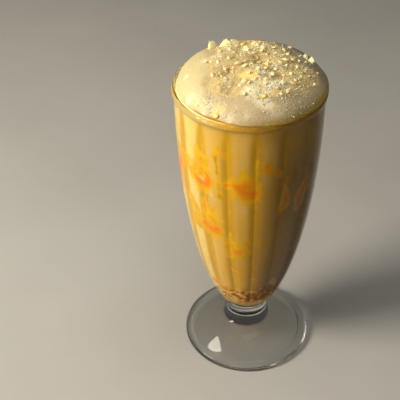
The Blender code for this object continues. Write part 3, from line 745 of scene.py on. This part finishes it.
def head_lip(angle):
    """Where the froth's edge lies on the rim: inside it at the left, over it at the right."""
    least = INNER_RIM - 0.0005
    overhang = LIP_OVERHANG * smoothstep(-0.75, 0.95, np.cos(angle - LIP_TURN))
    wave = 0.00030 * np.sin(5 * angle + 1.0) + 0.00022 * np.sin(11 * angle + 2.2)
    lip = least + overhang + wave * smoothstep(0.0, 0.0006, overhang)
    return np.clip(lip, least, RIM_RADIUS - 0.0001)


def relief(x, y):
    """Height of the hollows and swells of the top at a place."""
    height = 0.0
    for middle_x, middle_y, reach, rise in RELIEF:
        away = np.hypot(x * 1000 - middle_x, y * 1000 - middle_y) / reach
        height = height + rise * np.exp(-away ** 2)
    return height / 1000


def head_places(angle, share):
    """Places on the froth's dome: share is 0 at its lip on the rim and 1 at its top."""
    lip = head_lip(angle)
    edge_x = lip * np.sin(angle)
    base = HEAD_BASE + HEAD_TILT * (edge_x - HEAD_SHIFT)
    start = np.maximum((LIP_HEIGHT - base) / HEAD_RISE, 0.0)
    height = np.minimum(start + (1 - start) * share, 1.0)
    width = ((1 - height ** HEAD_ROUNDNESS) / (1 - start ** HEAD_ROUNDNESS)) ** (1 / HEAD_FLATNESS)
    x = edge_x * width + HEAD_SHIFT * (1 - width)
    y = -lip * np.cos(angle) * width
    base = HEAD_BASE + HEAD_TILT * (x - HEAD_SHIFT)
    z = np.maximum(base + HEAD_RISE * height, LIP_HEIGHT)
    return np.stack((x, y, z + relief(x, y) * smoothstep(0.0, 0.25, share)), axis=1)


def far_side_shade(x, y):
    """1 along the back edge at the right, where the froth and the crumbs on it are painted grey as
    shade.
    """
    return smoothstep(0.0190, 0.0285, 0.72 * y + 0.69 * x)


def inside_patch(x, y, patch, full, end, ragged=0.0):
    """1 in a patch up to the full share of its reach, and 0 from the end share on."""
    away = math.hypot((x - patch[0]) / patch[2], (y - patch[1]) / patch[3])
    return 1 - float(smoothstep(full, end, away + ragged))


def crumb_cover(x, y):
    """1 in the middle of the crumbs, 0 outside them and on the two bare patches."""
    back_reach = CRUMB_REACH[1] * (1.15 if y > CRUMB_MIDDLE[1] else 1.0)
    ragged = 0.16 * noise.noise(Vector((x, y, 0.0)) * 130)
    cover = inside_patch(x, y, (*CRUMB_MIDDLE, CRUMB_REACH[0], back_reach), 0.82, 1.04, ragged)
    cover = max(cover, 0.8 * inside_patch(x, y, FRONT_CRUMBS, 0.65, 1.05, ragged))
    bare = 1 - 0.9 * inside_patch(x, y, BARE_PATCH, 0.6, 1.3)
    mound = 1 - 0.75 * inside_patch(x, y, BARE_MOUND, 0.6, 1.2)
    left = float(smoothstep(-0.0245, -0.0185, x + 0.006 * noise.noise(Vector((x, y, 0.01)) * 200)))
    return cover * left * bare * mound


dome = []
for step in range(DOME_ROWS + 1):
    share = math.cos(math.radians(90 * step / DOME_ROWS)) ** 1.15
    dome.append((0.0400 * (1 - share) ** 0.4, DRAWN_AT + share))
plug = INNER_RIM + INTO_WALL
skirt = [(plug - 0.0003, GLASS_HEIGHT - 0.0001), (plug, GLASS_HEIGHT - 0.0008)]
skirt += [(plug, GLASS_HEIGHT - 0.0020), (plug, PLUG_FOOT), (0.0, PLUG_FOOT)]
froth = draw_line("froth_head", dome + skirt)
spin_round()
places = places_of(froth)
radius, angle = round_axis(places)
on_dome = places[:, 2] > DRAWN_AT - 0.01
share = np.clip(places[:, 2] - DRAWN_AT, 0.0, 1.0)
places = np.where(on_dome[:, None], head_places(angle, share), places)
cover = np.array([crumb_cover(x, y) if top else 0.0 for (x, y, z), top in zip(places, on_dome)])
for index in np.flatnonzero(on_dome):
    spot = Vector(places[index])
    lumps = noise.noise(spot * 420) * 0.00028 + noise.noise(spot * 1100) * 0.00014
    swells = noise.noise(spot * 110) * 0.00025
    settled = float(smoothstep(0.0, 0.10, share[index]))
    places[index, 2] += settled * (swells + lumps * (0.15 + 0.85 * cover[index]))
move_to(froth, places)
froth_faces = [tuple(face.vertices) for face in froth.data.polygons]
froth_top = BVHTree.FromPolygons([tuple(place) for place in places], froth_faces)


def spot_tone(places, tone):
    """1 in the middle of this tone's spots on the head, fading to 0 at their reach."""
    result = np.zeros(len(places))
    for x, y, reach_x, reach_y, strength in TONE_SPOTS[tone]:
        away = np.hypot((places[:, 0] * 1000 - x) / reach_x, (places[:, 1] * 1000 - y) / reach_y)
        result = np.maximum(result, strength * (1 - smoothstep(0.2, 1.0, away)))
    return result


# Ochre along the lip at the right and in front: drink soaked into the froth, and painted shade
at_right = (1 - smoothstep(0.02, 0.40, share)) * smoothstep(0.15, 0.85, np.cos(angle - math.radians(62)))
in_front = (1 - smoothstep(0.0, 0.11, share)) * smoothstep(0.4, 0.9, np.cos(angle - 0.1))
tones = {tone: spot_tone(places, tone) * on_dome for tone in TONE_SPOTS}
tones["ochre"] = np.maximum(tones["ochre"], 0.9 * np.maximum(at_right, in_front) * on_dome)
# Painted light: the lamp-lit left side of the head is toned lemon
tones["lit_lemon"] = (1 - smoothstep(-0.0285, -0.0205, places[:, 0])) * on_dome
# The dark line where the head meets the rim, strongest in front: partly a film of sauce, partly painted
# shade
wave = 0.028 + 0.015 * np.sin(9 * angle + 0.7) + 0.010 * np.sin(23 * angle)
darker = 0.3 + 0.7 * smoothstep(0.1, 0.8, np.cos(angle - 0.2))
tones["contact"] = (1 - smoothstep(wave, wave + 0.026, share)) * darker * on_dome
tones["crumbed"] = np.minimum(1.5 * cover, 1.1)
# Painted shade: the back edge of the head at the right is greyed
tones["far_shade_grey"] = far_side_shade(places[:, 0], places[:, 1]) * on_dome
# The plug inside the rim is soaked tan, and paler cream at the left and behind; the paler cream at the
# lamp-lit left is painted light
tones["soaked"] = np.where(on_dome, 0.0, 1.0)
tones["tan_away_from_lamp"] = smoothstep(-0.90, -0.10, angle) * (1 - smoothstep(2.2, 2.8, angle))
for tone, values in tones.items():
    paint(froth, tone, values)

froth_finish, tree, shader = new_finish("fine_froth")
mottle = noise_on(tree, 150.0, 4.0, 0.6)
speckle = noise_on(tree, 620.0, 3.0, 0.7)
foam = ramp_from(tree, mottle, ((0.30, FROTH_DULL), (0.55, FROTH_PALE), (0.75, FROTH_WHITE)))
stir = centred(tree, mottle, 0.9)
for tone, colour in FROTH_TONES.items():
    share = reckon(tree, "ADD", painted(tree, tone), stir)
    foam = blended(tree, between(tree, share, 0.10, 0.95), foam, colour)
flecks = between(tree, speckle, 0.56, 0.74, 0.0, 0.5)
foam = blended(tree, flecks, foam, FROTH_TONES["cream"])
pits = between(tree, speckle, 0.44, 0.28, 0.0, 0.5)
foam = blended(tree, pits, foam, FROTH_DULL)
# Painted light: the soaked plug is paler cream at the left
soaked = blended(tree, painted(tree, "tan_away_from_lamp"), SOAKED_LIT_CREAM, SOAKED_TAN)
foam = blended(tree, painted(tree, "soaked"), foam, soaked)
# Painted shade and a film of sauce along the rim
contact = reckon(tree, "ADD", painted(tree, "contact"), reckon(tree, "MULTIPLY", stir, 0.6))
foam = blended(tree, between(tree, contact, 0.2, 0.8, 0.0, 0.85), foam, CONTACT_BROWN)
cells = tree.nodes.new("ShaderNodeTexVoronoi")
set_inputs(cells, {"Scale": 1300.0})
tree.links.new(tree.nodes.new("ShaderNodeTexCoord").outputs["Object"], cells.inputs["Vector"])
froth_relief = reckon(tree, "ADD", cells.outputs["Distance"], speckle)
bumped(tree, shader, froth_relief, 0.5, 0.0004)
set_surface(tree, shader, foam, 0.42, 0.5, 0.6, (0.006, 0.0045, 0.003))
froth.data.materials.append(froth_finish)
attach(froth, "root")
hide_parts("froth")

# Large crumbs and flakes
# Broken nuts and biscuit, up to three millimetres, half sunk in the froth,
# and a few thin flakes that stand up at the back.
CRUMB_COUNT = 86
CRUMB_LARGEST = 0.0031
CRUMB_SMALLEST = 0.0014
# Flakes that stand up: x, y, length, width, lean and turn in degrees
FLAKES = (
    (-0.0212, 0.0195, 0.0072, 0.0052, 38, 24), (-0.0130, 0.0188, 0.0045, 0.0060, 34, -16),
    (-0.0088, 0.0198, 0.0040, 0.0064, 44, 14), (0.0330, 0.0108, 0.0042, 0.0036, 46, -38),
    (0.0300, 0.0127, 0.0036, 0.0032, 34, -20),
)
FLAKE_THICKNESS = 0.0011
FLAKE_TONES = ((0.00, (0.60, 0.43, 0.17)), (0.40, (0.72, 0.56, 0.25)), (1.00, (0.82, 0.70, 0.38)))
NUT_TONES = (
    (0.00, (0.53, 0.38, 0.17)), (0.30, (0.63, 0.46, 0.22)), (0.60, (0.75, 0.57, 0.30)),
    (1.00, (0.89, 0.74, 0.44)),
)


def crumb_finish(name, tones):
    """Dry nut or biscuit: each crumb has its own tone, with a mealy grain."""
    finish, tree, shader = new_finish(name)
    grain = noise_on(tree, 900.0, 3.0, 0.65)
    tone = reckon(tree, "ADD", painted(tree, "tone"), centred(tree, grain, 0.25))
    bumped(tree, shader, grain, 0.15, 0.0003)
    set_surface(tree, shader, ramp_from(tree, tone, tones), 0.70, 0.0, 0.8, (0.0030, 0.0022, 0.0013))
    return finish


def on_froth(x, y):
    """The place on the froth under a point, and the way the froth faces there."""
    return froth_top.ray_cast(Vector((x, y, 0.30)), Vector((0, 0, -1)))[:2]


def join_as(name, pieces):
    """Join pieces into one mesh whose points hold their places, turns and sizes."""
    bpy.ops.object.select_all(action="DESELECT")
    for piece in pieces:
        piece.select_set(True)
    bpy.context.view_layer.objects.active = pieces[0]
    bpy.ops.object.join()
    bpy.ops.object.transform_apply(location=True, rotation=True, scale=True)
    joined = bpy.context.object
    joined.name = name
    joined.data.name = name
    return joined


def roughen(cuts, amount, seed):
    """Break up the plain faces of the lump that was just shaped."""
    bpy.ops.object.mode_set(mode="EDIT")
    bpy.ops.mesh.select_all(action="SELECT")
    bpy.ops.mesh.subdivide(number_cuts=cuts, smoothness=0.3)
    bpy.ops.transform.vertex_random(offset=amount, seed=seed)
    bpy.ops.object.mode_set(mode="OBJECT")


rng = random.Random(11)
golden_angle = math.pi * (3 - math.sqrt(5))
crumbs = []
for index in range(CRUMB_COUNT):
    reach = math.sqrt((index + 0.5) / CRUMB_COUNT) * rng.uniform(0.93, 1.05)
    angle = index * golden_angle + rng.uniform(-0.2, 0.2)
    x = CRUMB_MIDDLE[0] + CRUMB_REACH[0] * reach * math.cos(angle)
    y = CRUMB_MIDDLE[1] + CRUMB_REACH[1] * reach * math.sin(angle)
    size = CRUMB_SMALLEST + (CRUMB_LARGEST - CRUMB_SMALLEST) * rng.random() ** 1.5
    stretch = rng.uniform(1.0, 1.7)
    flatness = rng.uniform(0.55, 0.9)
    if size > (CRUMB_LARGEST + CRUMB_SMALLEST) / 2:
        bpy.ops.mesh.primitive_ico_sphere_add(subdivisions=1, radius=size / 2)
    else:
        bpy.ops.mesh.primitive_cube_add(size=size * 0.72)
    crumb = bpy.context.object
    for point in crumb.data.vertices:
        point.co *= rng.uniform(0.76, 1.20)
    crumb.scale = (stretch, 1.0, flatness)
    tilts = rng.uniform(-0.6, 0.6), rng.uniform(-0.6, 0.6)
    crumb.rotation_euler = Euler((*tilts, rng.uniform(0, math.pi)))
    crumb.location = on_froth(x, y)[0] + Vector((0, 0, size * 0.08))
    roughen(2, size * 0.05, index)
    paint(crumb, "tone", [0.15 + 0.6 * ((index * 0.37) % 1.0)] * len(crumb.data.vertices))
    crumbs.append(crumb)
large_crumbs = join_as("large_crumbs", crumbs)
large_crumbs.data.materials.append(crumb_finish("chopped_nut", NUT_TONES))
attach(large_crumbs, "root")
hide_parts("froth")

flakes = []
for index, (x, y, length, width, lean, turn) in enumerate(FLAKES):
    bpy.ops.mesh.primitive_cube_add(size=1.0)
    flake = bpy.context.object
    for point in flake.data.vertices:
        narrowing = 0.62 if point.co.z > 0 else 1.0
        point.co.x = point.co.x * width * narrowing + rng.uniform(-0.14, 0.14) * width
        point.co.y *= FLAKE_THICKNESS
        point.co.z = point.co.z * length + rng.uniform(-0.16, 0.16) * length
    flake.rotation_euler = Euler((math.radians(-lean), math.radians(lean * 0.4), math.radians(turn)))
    flake.location = on_froth(x, y)[0] + Vector((0, 0, length * 0.04))
    roughen(4, 0.00016, index + 40)
    paint(flake, "tone", [0.75 + 0.05 * index] * len(flake.data.vertices))
    flakes.append(flake)
standing_flakes = join_as("standing_flakes", flakes)
standing_flakes.data.materials.append(crumb_finish("biscuit_flake", FLAKE_TONES))
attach(standing_flakes, "root")
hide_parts("froth")

# Fine crumbs
# Thousands of broken crumbs, a third of a millimetre to one and a half, and
# some longer slivers, spread over the middle of the head in loose clumps.
CRUMB_TONES = (
    (0.00, (0.30, 0.25, 0.15)), (0.18, (0.54, 0.35, 0.12)), (0.42, (0.72, 0.46, 0.16)),
    (0.68, (0.86, 0.60, 0.23)), (1.00, (1.00, 0.84, 0.47)),
)


def base_lump(seed, sides):
    """A small broken lump, one millimetre across, as points and faces."""
    bpy.ops.object.select_all(action="DESELECT")
    if sides == 20:
        bpy.ops.mesh.primitive_ico_sphere_add(subdivisions=1, radius=0.5)
    else:
        bpy.ops.mesh.primitive_cube_add(size=0.8)
    bpy.ops.object.mode_set(mode="EDIT")
    bpy.ops.mesh.select_all(action="SELECT")
    bpy.ops.transform.vertex_random(offset=0.16, seed=seed)
    bpy.ops.object.mode_set(mode="OBJECT")
    lump = bpy.context.object
    shape = (places_of(lump), [tuple(face.vertices) for face in lump.data.polygons])
    bpy.ops.object.delete()
    return shape


def scatter(name, shapes, spots):
    """One mesh of many copies. A spot gives the shape, place, size, stretch, turn and tone."""
    points, faces, tones = [], [], []
    for shape, place, size, stretch, turn, tone in spots:
        shape_points, shape_faces = shapes[shape]
        start = len(points)
        turned = (shape_points * stretch * size) @ np.array(turn.to_matrix()).T + np.array(place)
        points.extend(map(tuple, turned))
        faces.extend([tuple(start + corner for corner in face) for face in shape_faces])
        tones.extend([tone] * len(shape_points))
    mesh = bpy.data.meshes.new(name)
    mesh.from_pydata(points, [], faces)
    mesh.update()
    piece = bpy.data.objects.new(name, mesh)
    bpy.context.scene.collection.objects.link(piece)
    paint(piece, "tone", tones)
    return piece


def crumb_spots(rng, count, smallest, largest, shape_count, longest):
    """Random places in the crumbs' field, more of them where the cover is full."""
    spots = []
    while len(spots) < count:
        x = CRUMB_MIDDLE[0] + CRUMB_REACH[0] * rng.uniform(-1.15, 1.15)
        y = CRUMB_MIDDLE[1] + CRUMB_REACH[1] * rng.uniform(-1.15, 1.15)
        clump = 0.65 + 0.7 * noise.noise(Vector((x, y, 0.02)) * 260)
        if rng.random() > crumb_cover(x, y) * clump:
            continue
        place, facing = on_froth(x, y)
        if place is None:
            continue
        size = smallest + (largest - smallest) * rng.random() ** 2
        stretch = np.array((rng.uniform(1.0, longest), 1.0, rng.uniform(0.45, 0.80)))
        turn = Euler((rng.uniform(-0.9, 0.9), rng.uniform(-0.9, 0.9), rng.uniform(0, math.pi)))
        lift = size * rng.uniform(-0.49, -0.07)
        # Painted shade and light: crumbs darker in the hollows and lighter on the swells, lighter on the
        # gold spots and darker along the far edge at the right
        tone = 0.48 + 150 * float(relief(x, y)) + 0.14 * rng.random()
        tone += 0.5 * noise.noise(Vector((x, y, 0.05)) * 230)
        tone += 0.8 * float(spot_tone(np.array([place]), "gold")[0]) - 0.8 * float(far_side_shade(x, y))
        spots.append((rng.randrange(shape_count), place + facing * lift, size, stretch, turn, tone))
    return spots


broken_lumps = [base_lump(seed, 20) for seed in range(6)]
broken_cubes = [base_lump(seed, 6) for seed in range(20, 26)]
rng = random.Random(29)
fine_finish = crumb_finish("fine_crumb", CRUMB_TONES)
for name, shapes, count, smallest, largest, longest in (
    ("medium_crumbs", broken_lumps, 2300, 0.0007, 0.0015, 1.6),
    ("fine_crumbs", broken_cubes, 10500, 0.00035, 0.0009, 1.8),
    ("crumb_slivers", broken_cubes, 420, 0.0005, 0.0009, 4.0),
):
    spread = scatter(name, shapes, crumb_spots(rng, count, smallest, largest, len(shapes), longest))
    spread.data.materials.append(fine_finish)
    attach(spread, "root")
    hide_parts("froth")

FLAKE_CRUMB_COUNT = 170
clump = []
rng = random.Random(61)
flake_points = places_of(standing_flakes)
for index in range(FLAKE_CRUMB_COUNT):
    x, y = FLAKES[index % len(FLAKES)][:2]
    if index % 2:
        place = Vector(flake_points[rng.randrange(len(flake_points))])
    else:
        place = on_froth(x + rng.gauss(0, 0.0017), y + rng.gauss(0, 0.0011))[0]
    turn = Euler((rng.uniform(-1.5, 1.5), rng.uniform(-1.5, 1.5), rng.uniform(0, math.pi)))
    stretch = np.array((rng.uniform(1.0, 1.5), 1.0, 0.8))
    shape = rng.randrange(len(broken_lumps))
    clump.append((shape, place, rng.uniform(0.0004, 0.0009), stretch, turn, rng.uniform(0.2, 1.0)))
flake_crumbs = scatter("flake_crumbs", broken_lumps, clump)
flake_crumbs.data.materials.append(bpy.data.materials["biscuit_flake"])
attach(flake_crumbs, "root")
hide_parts("froth")

# Bubbles and sauce drops
# Single larger bubbles that stand out of the fine froth, most of them at the
# front and the right, and two drops of fruit sauce that lie on it.
BUBBLE_COUNT = 480
BUBBLE_SIZES = (0.00035, 0.0012)
BUBBLE_LOWEST = GLASS_HEIGHT + 0.0012
# Where the bubbles gather: x, y, spread in x and spread in y
BUBBLE_FIELDS = ((0.0150, -0.0300, 0.0130, 0.0060), (0.0300, -0.0200, 0.0060, 0.0100),
                 (-0.0230, -0.0290, 0.0060, 0.0050), (-0.0050, -0.0340, 0.0100, 0.0040))
BUBBLE_TONES = ((0.0, (0.52, 0.43, 0.23)), (0.5, (0.60, 0.50, 0.28)), (1.0, (0.68, 0.59, 0.36)))
DROP_TONES = ((0.0, (0.52, 0.30, 0.04)), (0.45, (0.86, 0.55, 0.09)), (1.0, (0.92, 0.72, 0.26)))
# Drops: x, y, width, height and how far the tone rises towards the middle
DROPS = ((0.0073, -0.0287, 0.0036, 0.0014, 0.6), (-0.0172, -0.0355, 0.0034, 0.0018, 1.0))

bpy.ops.mesh.primitive_uv_sphere_add(segments=8, ring_count=6, radius=0.5)
ball = bpy.context.object
ball_shape = [(places_of(ball), [tuple(face.vertices) for face in ball.data.polygons])]
bpy.ops.object.delete()
bubble_spots = []
for index in range(BUBBLE_COUNT):
    middle_x, middle_y, spread_x, spread_y = BUBBLE_FIELDS[(index * index) % 7 % len(BUBBLE_FIELDS)]
    place, facing = on_froth(rng.gauss(middle_x, spread_x), rng.gauss(middle_y, spread_y))
    if place is None or place.z < BUBBLE_LOWEST:
        continue
    size = BUBBLE_SIZES[0] + (BUBBLE_SIZES[1] - BUBBLE_SIZES[0]) * rng.random() ** 3
    place += facing * size * rng.uniform(-0.25, 0.0)
    bubble_spots.append((0, place, size, np.ones(3), Euler((0, 0, 0)), rng.random()))
bubbles = scatter("froth_bubbles", ball_shape, bubble_spots)
bubbles.data.shade_smooth()
bubble_finish, tree, shader = new_finish("froth_bubble")
tone = ramp_from(tree, painted(tree, "tone"), BUBBLE_TONES)
set_surface(tree, shader, tone, 0.30, 0.25, 0.8, (0.004, 0.003, 0.002))
bubbles.data.materials.append(bubble_finish)
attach(bubbles, "root")
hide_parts("froth")

drops = []
for x, y, width, height, rise in DROPS:
    bpy.ops.mesh.primitive_uv_sphere_add(segments=32, ring_count=16, radius=0.5)
    drop = bpy.context.object
    middle = np.clip(places_of(drop)[:, 2] * 2, 0.0, 1.0)
    paint(drop, "tone", 0.15 + 0.85 * rise * smoothstep(0.55, 0.95, middle))
    place, facing = on_froth(x, y)
    drop.scale = (width, width * 0.86, height)
    drop.rotation_euler = facing.to_track_quat("Z", "Y").to_euler()
    drop.location = place
    bpy.ops.object.shade_smooth()
    drops.append(drop)
sauce_drops = join_as("sauce_drops", drops)
drop_finish, tree, shader = new_finish("fruit_sauce_drop")
tone = reckon(tree, "ADD", painted(tree, "tone"), centred(tree, noise_on(tree, 700.0, 3.0), 0.5))
set_surface(tree, shader, ramp_from(tree, tone, DROP_TONES), 0.22, 0.5, 0.5, (0.003, 0.002, 0.001))
sauce_drops.data.materials.append(drop_finish)
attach(sauce_drops, "root")
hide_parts("froth")
